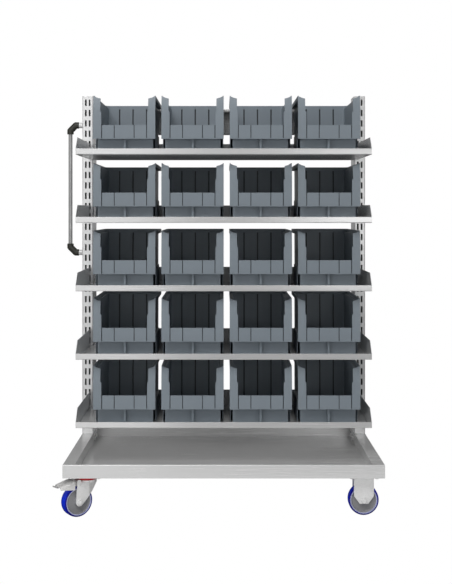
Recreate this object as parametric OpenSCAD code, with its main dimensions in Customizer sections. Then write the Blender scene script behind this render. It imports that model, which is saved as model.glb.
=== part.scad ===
// Mobile bin cart: a wheeled sheet-metal tray, two slotted uprights, hook-in shelves
// and open-front bins. Millimetres, +Z up, +Y away from the loading side, the push
// handle on the -X end. The origin is on the floor under the middle of the cart's box.

/* [Bins] */
// Width of a bin over its side rims
bin_w = 210; // [180:1:240]
// Length of a bin from the front frame to the rear rim
bin_d = 350; // [300:1:400]
// Height of a bin
bin_h = 200; // [185:1:202]
// Wall of the moulding
bin_wall = 3; // [2:0.1:4]
// How far the rim stands out from the body
bin_rim_out = 10.5; // [8:0.5:14]
// Height of the stepped-out rim
bin_rim_h = 14; // [9:0.5:20]
// Height of the set-back foot under the front frame
bin_foot_h = 53; // [35:1:65]
// How far the foot is set back behind the front frame
bin_foot_in = 40; // [25:0.5:50]
// Height of the low front wall
bin_front_h = 100; // [85:1:125]
// Height of the knee where the front pillars lean back
bin_knee_h = 145; // [132:1:160]
// How far the pillars lean back above the knee
bin_lean = 12; // [4:0.5:18]
// Width of a pillar below the knee
pillar_w = 28; // [26:0.5:36]
// Width of a pillar above the knee
pillar_top_w = 24.5; // [20:0.5:26]
// Fall of the pillar's top towards the opening
pillar_fall = 10; // [6:0.5:13]
// How far the rear wall leans out from foot to rim
bin_draft = 10; // [2:0.5:14]
// Radius of the body's rear corners
bin_round = 10; // [6:0.5:12]
// How far the low front wall is set back between the pillars
front_step = 2.5; // [1:0.5:4]
// Width of the label field on the front wall
label_w = 67; // [40:1:90]
// Width of the lines on the front wall
label_line = 2.4; // [1.5:0.1:3]
// Depth of those lines and of the lines beside the pillars
line_deep = 3; // [1:0.1:3]
// Wall at the rear
back_wall = 3; // [2.6:0.1:4]
// Width of a divider groove
groove_w = 4.5; // [3:0.1:7]
// Depth of a divider groove
groove_deep = 6.5; // [3:0.1:6.5]
// Distance between divider grooves in the rear wall
groove_pitch = 50; // [35:1:60]
// Width of the foot's middle rib
foot_rib_w = 7.5; // [3:0.5:8]
// Length of the skirts beside the foot
skirt_l = 160; // [80:1:200]
// Skirts' distance behind the foot's face
skirt_back = 25; // [10:1:60]
// Wall of the skirts
skirt_t = 2; // [1.5:0.1:3]
// Height of the skirts beside the foot
skirt_h = 75; // [55:1:90]
// Skirts' distance inside the pillars' outer faces
skirt_in = 1.5; // [1:0.1:3]
// Free gap between a bin and the sheet that carries it
bin_seat = 0.1; // [0.05:0.05:0.3]

/* [Rack] */
// Bins side by side
bin_cols = 4; // [4:1:4]
// Shelves, one above the other
bin_rows = 5; // [5:1:5]
// Free width between two bins
bin_gap = 20.3; // [10:0.1:40]
// Free shelf width left of the bins
shelf_room_l = 53.3; // [30:0.1:80]
// Free shelf width right of the bins
shelf_room_r = 33.3; // [25:0.1:80]
// Free shelf depth in front of the bins
shelf_room_f = 37; // [25:0.5:60]
// How far the bins' rear rims overhang the shelf
shelf_under = 2; // [0:0.5:5]
// Front of the bins from the middle of the tray
rack_y = -154; // [-165:1:-135]
// Least headroom over a bin
headroom = 24; // [23:0.5:60]

/* [Shelves] */
// Sheet of a shelf
shelf_t = 1.5; // [1:0.1:2]
// Outer radius of a shelf's bends
shelf_bend = 3; // [2.5:0.1:4]
// Height of the front lip
shelf_lip_h = 20; // [14:0.5:25]
// Height of the side and rear flanges
shelf_flange_h = 60; // [60:0.5:75]
// Underside of the lowest shelf above the tray's rim
first_shelf = 94; // [80:1:130]
// How far a shelf reaches back past the uprights' front
shelf_behind = 40; // [25:1:60]
// Height of a hook's neck above the shelf's underside
hook_z = 8; // [6:0.5:9]
// Height of a hook's neck
hook_h = 13; // [9:0.5:13]
// How far a hook's claw hangs behind the web
hook_claw = 8; // [4:0.5:9]
// Depth of a hook's claw
hook_deep = 4; // [3:0.5:6]
// Free gap between a shelf and an upright
hook_gap = 0.2; // [0.1:0.05:0.5]

/* [Uprights] */
// Width of an upright across the cart's length
upright_w = 40; // [36:0.5:50]
// Depth of an upright
upright_d = 100; // [80:1:105]
// Sheet of an upright
upright_t = 2; // [1.5:0.1:2.5]
// Outer radius of an upright's corners
upright_round = 4; // [3:0.5:6]
// Least solid sheet under the lowest slot
slot_low = 8; // [6:0.5:12]
// Least solid sheet over the highest slot
slot_top = 12; // [8:0.5:16]
// Upright above the top row of bins
upright_over = 32; // [25:0.5:60]
// Height of a slot
slot_h = 23; // [22:0.5:26]
// Width of a slot
slot_w = 6; // [4:0.1:8]
// Distance between slots
slot_pitch = 38; // [37.7:0.1:39]
// Slot columns from the middle of an upright
slot_col = 7; // [6:0.1:9]
// Wall of the spigot foot
spigot_t = 3; // [2:0.1:4]
// How far the spigot foot reaches up inside the upright
spigot_up = 60; // [40:1:70]
// Height of the top crossbar
crossbar_h = 94; // [60:1:110]
// Depth of the top crossbar
crossbar_d = 45; // [35:1:47]
// Sheet of the top crossbar
crossbar_t = 2; // [1.5:0.1:3]
// Lips of the top crossbar
crossbar_lip = 11; // [8:0.5:20]
// Outer radius of the top crossbar's bends
crossbar_bend = 4; // [3.5:0.1:6]
// Top crossbar below the uprights' top
crossbar_drop = 42.5; // [10:0.5:80]
// Distance between a crossbar end's two bolts
crossbar_bolts = 50; // [30:1:60]

/* [Tray] */
// Depth of the tray
tray_d = 600; // [560:1:700]
// Height of the tray's sides
tray_h = 44; // [40:0.5:60]
// Sheet of the tray
tray_t = 1.5; // [1:0.1:2]
// Outer radius of the tray's top bends
tray_bend = 2.5; // [1:0.1:3]
// Width of the rear rail
rear_rail_w = 25; // [18:0.5:35]
// Caster pads welded under the pan floor
pad_t = 5; // [5:0.1:7]
// Length of a caster pad
pad_l = 116; // [112:1:122]
// Width of a caster pad
pad_w = 92; // [88:1:100]
// Height of the front rim's folded hem
hem_h = 10; // [6:0.5:20]
// Bolt height above the tray's underside
rail_bolt_z = 21; // [17:0.5:27]
// Distance between an upright's two bolts
rail_bolts = 50; // [40:1:60]

/* [Fasteners] */
// Thread of the bolts
bolt_d = 8; // [6:0.1:8]
// Width across a bolt head's corners
bolt_head_d = 15; // [13:0.5:16]
// Height of a bolt head
bolt_head_h = 5.3; // [4:0.1:5.5]
// Bolt past the wall it goes through
bolt_past = 9; // [5:0.5:12]
// Free gap round a fixed shaft or bolt, on the radius
fit = 0.05; // [0.03:0.01:0.08]

/* [Handle] */
// Outer diameter of the grip tube
grip_d = 15; // [12:0.5:18]
// Wall of the grip tube
grip_t = 1.5; // [1:0.1:2]
// Height of the handle over its elbows' axes
handle_l = 473; // [300:1:600]
// Middle of the handle above the floor
handle_z = 1076.5; // [900:0.5:1100]
// Grip axis from the upright's side
handle_out = 51; // [46:0.5:70]
// Diameter of an elbow
elbow_d = 24; // [21:0.5:28]
// Length of an elbow's leg along the grip
elbow_leg = 33; // [30:0.5:40]
// Depth of the grip in an elbow
elbow_socket = 16; // [10:0.5:18]
// Length of a spacer
spacer_l = 19; // [12:0.5:22]
// Diameter of a spacer
spacer_d = 20; // [14:0.5:22]

/* [Casters] */
// Diameter of a wheel
wheel_d = 100; // [90:1:125]
// Width of a tyre
wheel_w = 32; // [26:0.5:36]
// Thickness of a tyre
tyre_t = 7.5; // [5:0.5:12]
// Rounding of a tyre's shoulders
tyre_round = 4; // [2:0.5:5]
// Bond between a tyre and its core
tyre_bond = 0.35; // [0.3:0.05:0.5]
// Tray above the wheels
caster_over = 33; // [33:0.5:45]
// Diameter of an axle
axle_d = 10; // [8:0.5:12]
// Thickness of a caster plate
plate_t = 4; // [3:0.1:4]
// Length of a caster plate
plate_l = 105; // [102:1:110]
// Width of a caster plate
plate_w = 80; // [78:1:86]
// Caster bolts apart along the plate
plate_bolts_l = 80; // [80:1:88]
// Caster bolts apart across the plate
plate_bolts_w = 60; // [60:1:64]
// Wheel axis behind the kingpin
trail = 38; // [35:0.5:42]
// Swivel casters from the tray's end
swivel_in_x = 72; // [72:0.5:110]
// Fixed casters from the tray's end
fixed_in_x = 62.5; // [60:0.5:110]
// Casters from the tray's front and rear
caster_in_y = 62; // [58:0.5:90]
// Turn of the front swivel caster from straight running
caster_yaw = 34; // [-180:1:180]
// Sheet of the forks
fork_t = 3; // [2:0.1:4]
// Free width between a tyre and a fork leg
fork_room = 5; // [4:0.1:7]
// Running gap beside a wheel hub
hub_gap = 0.5; // [0.3:0.05:0.8]
// Diameter of the kingpin
kingpin_d = 12; // [10:0.5:16]
// Diameter of the swivel head under the plate
head_d = 60; // [50:1:64]
// Diameter of the seal ring
seal_d = 76; // [68:1:80]
// How much narrower the seal ring is at its foot
seal_cone = 8; // [2:0.5:10]
// Fold of a swivel fork's leading wings behind the kingpin
fork_fold = 5; // [0:0.5:10]
// How far a swivel fork's wings fold in
fork_wing = 9; // [5:0.5:10]
// Ears of a swivel fork above its crown
fork_ear = 4.4; // [2:0.1:4.6]
// Gap over the turning fork
head_gap = 0.4; // [0.3:0.05:0.6]
// Width of a fixed fork's leg
leg_w = 65; // [50:1:72]
// Width of the leg's middle panel
leg_mid_w = 28; // [24:1:34]
// How far the leg's wings fold in
leg_fold = 2; // [0.5:0.1:2.5]
// Diameter of the pedal's pivot
pivot_d = 8; // [6:0.5:9]
// Length of a pedal behind the wheel axis
pedal_l = 78; // [72:0.5:90]
// Wall of a pedal
pedal_t = 3; // [2:0.1:3.5]
// Width of a pedal's tongue
tongue_w = 19; // [14:0.5:26]

/* [Hidden] */
$fn = 48;
eps = 0.01;

SIDES = ["left", "right"];
SWIVEL = ["fl", "rl"];
FIXED = ["fr", "rr"];

// Bins and shelves
body_w = bin_w - 2 * bin_rim_out;
body_back = bin_d - bin_rim_out;
row_w = bin_cols * bin_w + (bin_cols - 1) * bin_gap;
shelf_w = row_w + shelf_room_l + shelf_room_r;
shelf_y0 = rack_y - shelf_room_f;
shelf_y1 = rack_y + bin_d - shelf_under;
shelf_pitch = slot_pitch * ceil((shelf_t + bin_h + headroom) / slot_pitch);

// Uprights
up_x = (shelf_w - shelf_t) / 2 + slot_col;
up_y0 = shelf_y1 - shelf_behind;
up_y1 = up_y0 + upright_d;
up_mid = (up_y0 + up_y1) / 2;
up_in = up_x - upright_w / 2;
up_out = up_x + upright_w / 2;

// Heights, from the floor up
caster_h = wheel_d + caster_over;
tray_top = caster_h + tray_h;
shelf_z0 = tray_top + first_shelf;
top_z = shelf_z0 + (bin_rows - 1) * shelf_pitch + shelf_t + bin_h + upright_over;
slot_z0 = shelf_z0 + hook_z + slot_h / 2;
slots_low = floor((slot_z0 - slot_h / 2 - tray_top - slot_low) / slot_pitch);
slots_high = floor((top_z - slot_h / 2 - slot_top - slot_z0) / slot_pitch);

// Tray
tray_w = 2 * up_out;
rail_w = upright_w;
floor_z = caster_h + pad_t;
spigot_gap = 0.3;
spigot_d = upright_d - 2 * upright_t - 1;
spigot_w = upright_w - 2 * upright_t;

// The handle stands out on one end only, so the cart is moved to centre its box
reach = handle_out + elbow_d / 2;
shift_x = reach / 2;

// Casters, in a local frame with x trailing from the kingpin and z up from the floor
axle_z = wheel_d / 2;
fork_in = wheel_w / 2 + fork_room;
fork_out = fork_in + fork_t;
core_r = wheel_d / 2 - tyre_t;
hub_l = 2 * (fork_in - hub_gap);
plate_z = caster_h - plate_t;
crown_z = caster_h - 15;
pivot_x = trail - 2;
pivot_z = wheel_d + 7;
pivot_r = pivot_d / 2 + 2;
swivel_x = -tray_w / 2 + swivel_in_x;
fixed_x = tray_w / 2 - fixed_in_x;
caster_y = tray_d / 2 - caster_in_y;

// Extrudes a (y, z) outline along x
module along_x(x0, x1) {
    translate([x0, 0, 0]) rotate([90, 0, 90]) linear_extrude(x1 - x0) children();
}

// Extrudes an (x, z) outline along y
module along_y(y0, y1) {
    translate([0, y1, 0]) rotate([90, 0, 0]) linear_extrude(y1 - y0) children();
}

// A box between two corners
module span(a, b) {
    translate(a) cube(b - a);
}

// A rectangle with round corners
module round_rect(p, w, h, r) {
    translate([p.x + r, p.y]) square([w - 2 * r, h]);
    translate([p.x, p.y + r]) square([w, h - 2 * r]);
    for (i = [r, w - r], j = [r, h - r]) translate([p.x + i, p.y + j]) circle(r = r);
}

// A copy on both ends of the cart
module both_ends() {
    children();
    mirror([1, 0, 0]) children();
}

// A shaft along y
module shaft_y(d, y0, y1) {
    translate([0, y1, 0]) rotate([90, 0, 0]) cylinder(d = d, h = y1 - y0);
}

// A shaft along x
module shaft_x(d, x0, x1) {
    translate([x0, 0, 0]) rotate([0, 90, 0]) cylinder(d = d, h = x1 - x0);
}

// Moves the cart's own frame to the part's origin
module cart() {
    translate([shift_x, 0, 0]) children();
}

// Base tray
module tray_pads() {
    for (y = [-caster_y, caster_y]) {
        span([swivel_x - pad_l / 2, y - pad_w / 2, caster_h], [swivel_x + pad_l / 2, y + pad_w / 2, floor_z + eps]);
        span([fixed_x - pad_l / 2, y - pad_w / 2, caster_h], [fixed_x + pad_l / 2, y + pad_w / 2, floor_z + eps]);
    }
}

module caster_bolt_places() {
    for (x = [swivel_x, fixed_x], y = [-caster_y, caster_y])
        for (i = [-1, 1], j = [-1, 1])
            translate([x + i * plate_bolts_l / 2, y + j * plate_bolts_w / 2, 0]) children();
}

// A block from the tray's underside up, with bent top edges
module bent_block(half) {
    r = tray_bend;
    translate([-half, caster_h]) square([2 * half, tray_h - r]);
    translate([-half + r, caster_h]) square([2 * (half - r), tray_h]);
    for (i = [-1, 1]) translate([i * (half - r), tray_top - r]) circle(r = r);
}

module base_tray() {
    x1 = tray_w / 2;
    xi = x1 - rail_w;
    y1 = tray_d / 2;
    color("lightgray") cart() difference() {
        union() {
            difference() {
                intersection() {
                    along_x(-x1, x1) bent_block(y1);
                    along_y(-y1, y1) bent_block(x1);
                }
                // pan, open to the top
                span([-xi, -y1 + tray_t, floor_z + tray_t], [xi, y1 - rear_rail_w, tray_top + 1]);
                // folded rails and floor, open from below
                span([-xi, -y1 + tray_t, caster_h - 1], [xi, y1 - rear_rail_w, floor_z]);
                span([-xi, y1 - rear_rail_w + tray_t, caster_h - 1], [xi, y1 - tray_t, tray_top - tray_t]);
                both_ends() span([xi + tray_t, -y1 + tray_t, caster_h - 1], [x1 - tray_t, y1 - tray_t, tray_top - tray_t]);
            }
            tray_pads();
            span([-xi - eps, -y1 + tray_t - eps, tray_top - hem_h], [xi + eps, -y1 + 2 * tray_t, tray_top - tray_bend / 2]);
        }
        // seats of the spigot feet and their bolts
        both_ends() {
            span([up_x - spigot_w / 2 - spigot_gap, up_y0 + upright_t - spigot_gap, tray_top - tray_t - 1],
                 [up_x + spigot_w / 2 + spigot_gap, up_y0 + upright_t + spigot_d + spigot_gap, tray_top + 1]);
            for (j = [-1, 1])
                translate([0, up_mid + j * rail_bolts / 2, caster_h + rail_bolt_z])
                    shaft_x(bolt_d + 2 * fit, xi - 1, xi + tray_t + 1);
        }
        caster_bolt_places() translate([0, 0, caster_h - 1]) cylinder(d = bolt_d + 2 * fit, h = pad_t + 0.8);
    }
}

// Uprights
module upright_section() {
    t = upright_t;
    difference() {
        round_rect([up_in, up_y0], upright_w, upright_d, upright_round);
        round_rect([up_in + t, up_y0 + t], upright_w - 2 * t, upright_d - 2 * t, upright_round - t);
    }
}

module upright_shape() {
    difference() {
        union() {
            translate([0, 0, tray_top]) linear_extrude(top_z - tray_top) upright_section();
            difference() {
                translate([up_x - spigot_w / 2, up_y0 + upright_t, floor_z + spigot_gap])
                    cube([spigot_w, spigot_d, tray_top + spigot_up - floor_z - spigot_gap]);
                translate([up_x - spigot_w / 2 + spigot_t, up_y0 + upright_t + spigot_t, floor_z])
                    cube([spigot_w - 2 * spigot_t, spigot_d - 2 * spigot_t, tray_h + spigot_up + 10]);
            }
        }
        for (j = [-slots_low:slots_high], i = [-1, 1])
            translate([up_x + i * slot_col - slot_w / 2, up_y0 - 1, slot_z0 + j * slot_pitch - slot_h / 2])
                cube([slot_w, upright_t + 1, slot_h]);
        for (j = [-1, 1])
            translate([0, up_mid + j * rail_bolts / 2, caster_h + rail_bolt_z])
                shaft_x(bolt_d + 2 * fit, up_in - 1, up_in + upright_t + spigot_t + 1);
        for (j = [-1, 1])
            translate([0, crossbar_mid_y, crossbar_mid_z + j * crossbar_bolts / 2])
                shaft_x(bolt_d + 2 * fit, up_in - 1, up_in + upright_t + 1);
    }
}

module upright_left() {
    color("gainsboro") cart() difference() {
        mirror([1, 0, 0]) upright_shape();
        for (j = [-1, 1])
            translate([0, up_mid, handle_z + j * handle_l / 2])
                shaft_x(bolt_d + 2 * fit, -up_out - 1, -up_out + upright_t + 1);
    }
}

module upright_right() {
    color("gainsboro") cart() upright_shape();
}

// Top crossbar, a lipped channel open to the front with a bolted plate at each end
crossbar_z1 = top_z - crossbar_drop;
crossbar_z0 = crossbar_z1 - crossbar_h;
crossbar_y1 = up_y1 - 4;
crossbar_y0 = crossbar_y1 - crossbar_d;
crossbar_mid_y = (crossbar_y0 + crossbar_y1) / 2;
crossbar_mid_z = (crossbar_z0 + crossbar_z1) / 2;
crossbar_plate = 3;

module top_crossbar() {
    color("silver") cart() difference() {
        union() {
            along_x(-up_in + crossbar_plate - eps, up_in - crossbar_plate + eps) difference() {
                round_rect([crossbar_y0, crossbar_z0], crossbar_d, crossbar_h, crossbar_bend);
                round_rect([crossbar_y0 + crossbar_t, crossbar_z0 + crossbar_t], crossbar_d - 2 * crossbar_t,
                           crossbar_h - 2 * crossbar_t, crossbar_bend - crossbar_t);
                translate([crossbar_y0 - 1, crossbar_z0 + crossbar_lip])
                    square([crossbar_t + 2, crossbar_h - 2 * crossbar_lip]);
            }
            both_ends() span([up_in - crossbar_plate, crossbar_y0, crossbar_z0], [up_in, crossbar_y1, crossbar_z1]);
        }
        both_ends() for (j = [-1, 1])
            translate([0, crossbar_mid_y, crossbar_mid_z + j * crossbar_bolts / 2])
                shaft_x(bolt_d + 2 * fit, up_in - crossbar_plate - 1, up_in + 1);
    }
}

// A hexagon bolt along +x, its head ending at x = 0
module bolt_x(grip) {
    shaft_x(bolt_d, -eps, grip);
    rotate([0, -90, 0]) cylinder(d = bolt_head_d, h = bolt_head_h, $fn = 6);
}

module frame_bolts() {
    color("white") cart() both_ends() for (j = [-1, 1]) {
        translate([up_in, up_mid + j * rail_bolts / 2, caster_h + rail_bolt_z])
            bolt_x(tray_t + spigot_t + bolt_past);
        translate([up_in - crossbar_plate, crossbar_mid_y, crossbar_mid_z + j * crossbar_bolts / 2])
            bolt_x(crossbar_plate + upright_t + bolt_past);
    }
}

// Shelves
module hook_outline(z) {
    y0 = up_y0 - hook_gap;
    y1 = up_y0 + upright_t + hook_gap;
    translate([y0 - 1, z + 0.1]) square([y1 - y0 + 1 + eps, hook_h - 0.1]);
    translate([y1, z + 0.1 - hook_claw]) square([hook_deep, hook_h - 0.1 + hook_claw]);
}

module shelf_side() {
    y1 = up_y0 - hook_gap;
    rise = shelf_flange_h - shelf_lip_h;
    along_x(shelf_w / 2 - shelf_t, shelf_w / 2) {
        polygon([[shelf_y0 + shelf_bend, 0], [shelf_y0, shelf_bend], [shelf_y0, shelf_lip_h],
                 [shelf_y0 + rise, shelf_flange_h], [y1, shelf_flange_h], [y1, 0]]);
        for (k = [0, 1]) hook_outline(hook_z + k * slot_pitch);
    }
}

// Section of a sheet from the origin along y, with one edge bent up
module bent_strip(l, h) {
    r = shelf_bend;
    translate([r, 0]) square([l - r, shelf_t]);
    translate([0, r]) square([shelf_t, h - r]);
    intersection() {
        difference() {
            translate([r, r]) circle(r = r);
            translate([r, r]) circle(r = r - shelf_t);
        }
        square(r);
    }
}

module shelf_shape() {
    y1 = up_y0 - hook_gap;
    xn = up_in - 1.5;
    along_x(-shelf_w / 2, shelf_w / 2) translate([shelf_y0, 0]) bent_strip(y1 - shelf_y0, shelf_lip_h);
    along_x(-xn, xn) translate([shelf_y1, 0]) mirror([1, 0]) bent_strip(shelf_y1 - y1 + eps, shelf_flange_h);
    both_ends() shelf_side();
}

module shelf(r) {
    color("lightgray") cart() translate([0, 0, shelf_z0 + (r - 1) * shelf_pitch]) shelf_shape();
}

// Bins, drawn with the front frame at y = 0, the middle at x = 0 and the foot at z = 0
module bin_side_outline() {
    polygon([
        [bin_foot_in, 0], [bin_foot_in, bin_foot_h], [0, bin_foot_h], [0, bin_knee_h], [bin_lean, bin_h],
        [body_back, bin_h], [body_back - bin_draft, 0]
    ]);
}

module bin_cavity_outline() {
    w = bin_wall;
    b = back_wall;
    slope = bin_draft / bin_h;
    polygon([
        [bin_foot_in + w, w], [bin_foot_in + w, bin_foot_h + w], [w, bin_foot_h + w], [w, bin_knee_h],
        [bin_lean + w, bin_h], [bin_lean + w, bin_h + 1], [body_back - b, bin_h + 1], [body_back - b, bin_h],
        [body_back - bin_draft + slope * w - b, w]
    ]);
}

module bin_frame_outline() {
    w = bin_wall;
    polygon([[0, bin_foot_h], [0, bin_knee_h], [bin_lean, bin_h], [bin_lean + w, bin_h], [w, bin_knee_h], [w, bin_foot_h]]);
}

module bin_mouth_half() {
    x1 = bin_w / 2 - pillar_w;
    x2 = bin_w / 2 - pillar_top_w;
    x3 = bin_w / 2 + 1;
    z2 = bin_h - pillar_fall;
    polygon([
        [-eps, bin_front_h], [x1, bin_front_h], [x1, bin_knee_h], [x2, bin_knee_h], [x2, z2],
        [0.5 * (x2 + x3), z2 + 0.35 * pillar_fall], [x3, bin_h], [x3, bin_h + 2], [-eps, bin_h + 2]
    ]);
}

module bin_mouth_outline() {
    bin_mouth_half();
    mirror([1, 0]) bin_mouth_half();
}

// What rounding takes off a corner whose edges lie on x = 0 and y = 0
module corner_cut(r) {
    difference() {
        translate([-r, -r]) square(r + 1);
        translate([-r, -r]) circle(r = r);
    }
}

// The same along both rear edges, for a half width x1, a rear wall y1 deep at the top and its lean
module rear_corner_cuts(x1, y1, lean, r) {
    for (i = [0, 1]) mirror([i, 0, 0]) translate([x1, y1 - lean, 0]) rotate([-atan(lean / bin_h), 0, 0])
        translate([0, 0, -bin_h / 2]) linear_extrude(2 * bin_h) corner_cut(r);
}

// Rim block round the body's top, and the hollow that leaves its stepped-out wall
module bin_rim_block(inset, z0, z1) {
    x1 = bin_w / 2 - inset;
    y1 = bin_d - inset;
    difference() {
        span([-x1, bin_lean + inset, z0], [x1, y1, z1]);
        rear_corner_cuts(x1, y1, 0, bin_round + bin_rim_out - inset);
    }
}

module bin_hollow() {
    w = bin_wall;
    difference() {
        along_x(-body_w / 2 + w, body_w / 2 - w) bin_cavity_outline();
        rear_corner_cuts(body_w / 2 - w, body_back - back_wall, bin_draft, bin_round - w);
    }
}

// Hollow skirt beside the foot, open in front and below
module bin_skirt() {
    w = skirt_t;
    x1 = bin_w / 2 - skirt_in;
    y0 = bin_foot_in + skirt_back;
    y1 = y0 + skirt_l;
    difference() {
        span([body_w / 2 - eps, y0, 0], [x1, y1, skirt_h]);
        span([body_w / 2 - 1, y0 - 1, -1], [x1 - w, y1 - w, skirt_h - w]);
    }
}

module bin_shape() {
    w = bin_wall;
    x1 = bin_w / 2 - pillar_w;
    difference() {
        union() {
            difference() {
                along_x(-body_w / 2, body_w / 2) bin_side_outline();
                rear_corner_cuts(body_w / 2, body_back, bin_draft, bin_round);
            }
            along_x(-bin_w / 2, bin_w / 2) bin_frame_outline();
            bin_rim_block(0, bin_h - bin_rim_h, bin_h);
            span([-foot_rib_w / 2, bin_foot_in / 2, 0], [foot_rib_w / 2, bin_foot_in + eps, bin_foot_h]);
            for (i = [0, 1]) mirror([i, 0, 0]) bin_skirt();
            // walls of the divider grooves behind the rear wall
            for (i = [-1:1]) intersection() {
                translate([i * groove_pitch - groove_w / 2 - w, bin_d / 2, 0]) cube([groove_w + 2 * w, bin_d, bin_h - bin_rim_h + eps]);
                along_x(-body_w / 2, body_w / 2) translate([groove_deep, 0]) bin_side_outline();
            }
        }
        difference() {
            bin_hollow();
            // low front wall, set back between the pillars
            span([-x1, 0, 0], [x1, front_step + line_deep + 0.6 * w, bin_front_h]);
        }
        bin_rim_block(w, bin_h - bin_rim_h + w, bin_h + 1);
        along_y(-1, bin_lean + w + eps) bin_mouth_outline();
        span([-x1, -1, bin_foot_h - 1], [x1, front_step, bin_front_h + 1]);
        // divider grooves in the rear wall
        for (i = [-1:1]) intersection() {
            translate([i * groove_pitch - groove_w / 2, 0, bin_foot_h / 2]) cube([groove_w, bin_d, bin_h - bin_rim_h - bin_foot_h / 2]);
            along_x(-body_w / 2, body_w / 2) translate([groove_deep, 0]) bin_cavity_outline();
        }
        // lines on the front wall, beside the label field and beside the pillars
        for (i = [-1, 1], x = [label_w / 2, x1 - label_line / 2])
            translate([i * x - label_line / 2, front_step - 1, bin_foot_h + w]) cube([label_line, line_deep + 1, bin_front_h]);
    }
}

module bin(r, c) {
    x = -shelf_w / 2 + shelf_room_l + bin_w / 2 + (c - 1) * (bin_w + bin_gap);
    z = shelf_z0 + (r - 1) * shelf_pitch + shelf_t + bin_seat;
    color("slategray") cart() translate([x, rack_y, z]) bin_shape();
}

// Push handle
grip_x = -up_out - handle_out;
spacer_x = -up_out - spacer_l;
elbow_cut = 20;
mitre_turn = 22.5;

// Keeps what lies on one side of a mitre plane through the origin, tilted by a from level
module mitre(a, above) {
    rotate([0, a, 0]) translate([-elbow_d * 2, -elbow_d * 2, above ? 0 : -elbow_d * 4]) cube(elbow_d * 4);
}

// Two mitred bends of 45 degrees: along the grip, across the corner, then to the upright
module elbow_shape() {
    arm = handle_out - spacer_l;
    difference() {
        union() {
            intersection() {
                translate([0, 0, -elbow_leg]) cylinder(d = elbow_d, h = elbow_leg);
                translate([0, 0, -elbow_cut]) mitre(mitre_turn, false);
            }
            intersection() {
                translate([0, 0, -elbow_cut]) rotate([0, 45, 0]) translate([0, 0, -elbow_cut]) cylinder(d = elbow_d, h = 4 * elbow_cut);
                translate([0, 0, -elbow_cut]) mitre(mitre_turn, true);
                translate([elbow_cut, 0, 0]) mitre(90 - mitre_turn, false);
            }
            intersection() {
                shaft_x(elbow_d, 0, arm);
                translate([elbow_cut, 0, 0]) mitre(90 - mitre_turn, true);
            }
        }
        translate([0, 0, -elbow_leg - 1]) cylinder(d = grip_d + 2 * fit, h = elbow_socket + 1);
        shaft_x(bolt_d + 2 * fit, arm - 8, arm + elbow_d);
    }
}

module handle_elbow_top() {
    color("darkslategray") cart() translate([grip_x, up_mid, handle_z + handle_l / 2]) elbow_shape();
}

module handle_elbow_bottom() {
    color("darkslategray") cart() translate([grip_x, up_mid, handle_z - handle_l / 2]) mirror([0, 0, 1]) elbow_shape();
}

module handle_tube() {
    l = handle_l - 2 * (elbow_leg - elbow_socket) - 0.4;
    color("silver") cart() translate([grip_x, up_mid, handle_z - l / 2]) difference() {
        cylinder(d = grip_d, h = l);
        translate([0, 0, -1]) cylinder(d = grip_d - 2 * grip_t, h = l + 2);
    }
}

module handle_spacers() {
    color("whitesmoke") cart() for (j = [-1, 1])
        translate([0, up_mid, handle_z + j * handle_l / 2]) difference() {
            shaft_x(spacer_d, spacer_x, -up_out);
            shaft_x(bolt_d + 2 * fit, spacer_x - 1, -up_out + 1);
        }
}

module handle_screws() {
    color("silver") cart() for (j = [-1, 1])
        translate([-up_out + upright_t, up_mid, handle_z + j * handle_l / 2]) {
            shaft_x(bolt_d, -upright_t - spacer_l - 7, eps);
            shaft_x(bolt_head_d, 0, bolt_head_h);
        }
}

// Casters
module at_swivel(s) {
    y = s == "fl" ? -caster_y : caster_y;
    turn = s == "fl" ? 180 + caster_yaw : 180 - caster_yaw;
    cart() translate([swivel_x, y, 0]) rotate([0, 0, turn]) children();
}

module at_swivel_plate(s) {
    y = s == "fl" ? -caster_y : caster_y;
    cart() translate([swivel_x, y, 0]) children();
}

module at_fixed(s) {
    y = s == "fr" ? -caster_y : caster_y;
    cart() translate([fixed_x, y, 0]) children();
}

module caster_bolts() {
    color("silver") cart() caster_bolt_places() {
        translate([0, 0, plate_z - bolt_head_h]) cylinder(d = bolt_head_d, h = bolt_head_h, $fn = 6);
        translate([0, 0, plate_z - eps]) cylinder(d = bolt_d, h = plate_t + pad_t - 0.5);
    }
}

module plate_blank() {
    difference() {
        translate([-plate_l / 2, -plate_w / 2, plate_z]) cube([plate_l, plate_w, plate_t]);
        for (i = [-1, 1], j = [-1, 1])
            translate([i * plate_bolts_l / 2, j * plate_bolts_w / 2, plate_z - 1]) cylinder(d = bolt_d + 2 * fit, h = plate_t + 2);
    }
}

// Plate, swivel head and riveted kingpin
module swivel_plate(s) {
    color("silver") at_swivel_plate(s) {
        plate_blank();
        translate([0, 0, crown_z + head_gap]) cylinder(d = head_d, h = plate_z - crown_z - head_gap + eps);
        translate([0, 0, crown_z - fork_t - 0.3 - eps]) cylinder(d = kingpin_d, h = fork_t + 1);
        translate([0, 0, crown_z - fork_t - 0.3 - 5]) cylinder(d = 2 * kingpin_d, h = 5);
    }
}

module swivel_seal(s) {
    color("red") at_swivel_plate(s) translate([0, 0, crown_z + head_gap + 0.2]) difference() {
        cylinder(d1 = seal_d - seal_cone, d2 = seal_d, h = plate_z - crown_z - head_gap - 2);
        translate([0, 0, -1]) cylinder(d = head_d + 2 * fit, h = plate_z);
    }
}

// Inverted U of bent sheet with round shoulders
module u_outline(half, top, r) {
    translate([-half, 0]) square([2 * half, top - r]);
    translate([-half + r, 0]) square([2 * (half - r), top]);
    for (i = [-1, 1]) translate([i * (half - r), top - r]) circle(r = r);
}

fork_lead = 28;
fork_boss = 13;
fork_tail = trail + 8;
fork_round = 8;

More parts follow.
